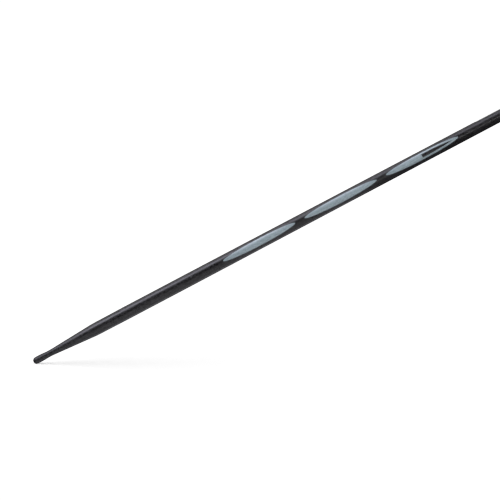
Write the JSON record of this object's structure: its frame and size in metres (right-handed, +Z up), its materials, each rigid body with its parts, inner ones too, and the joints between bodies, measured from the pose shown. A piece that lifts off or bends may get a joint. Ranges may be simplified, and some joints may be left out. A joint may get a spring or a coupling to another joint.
{
  "type": "knitting needle",
  "caption": "Slim round knitting needle moulded in two shots, with a drop-shaped tip at each end, long tapers, and rows of flush pale lens-shaped windows in a dark satin shaft.",
  "frame": {"origin": "on the resting surface, under the middle of the needle's length", "axes": "X along the needle with the gauge length on the -X side, -Y the side that the dart's window faces, Z up"},
  "size_m": [0.2, 0.0036, 0.0037],
  "materials": {
    "dark_skin": "satin black moulded polymer with a fine mould grain",
    "pale_core": "satin pale blue-grey moulded polymer with a fine mould grain",
    "dark_inlay": "matt black moulded polymer"
  },
  "bodies": {
    "root": {"skin": "dark_skin", "core": "pale_core", "dart_inlay": "dark_inlay"}
  },
  "joints": []
}
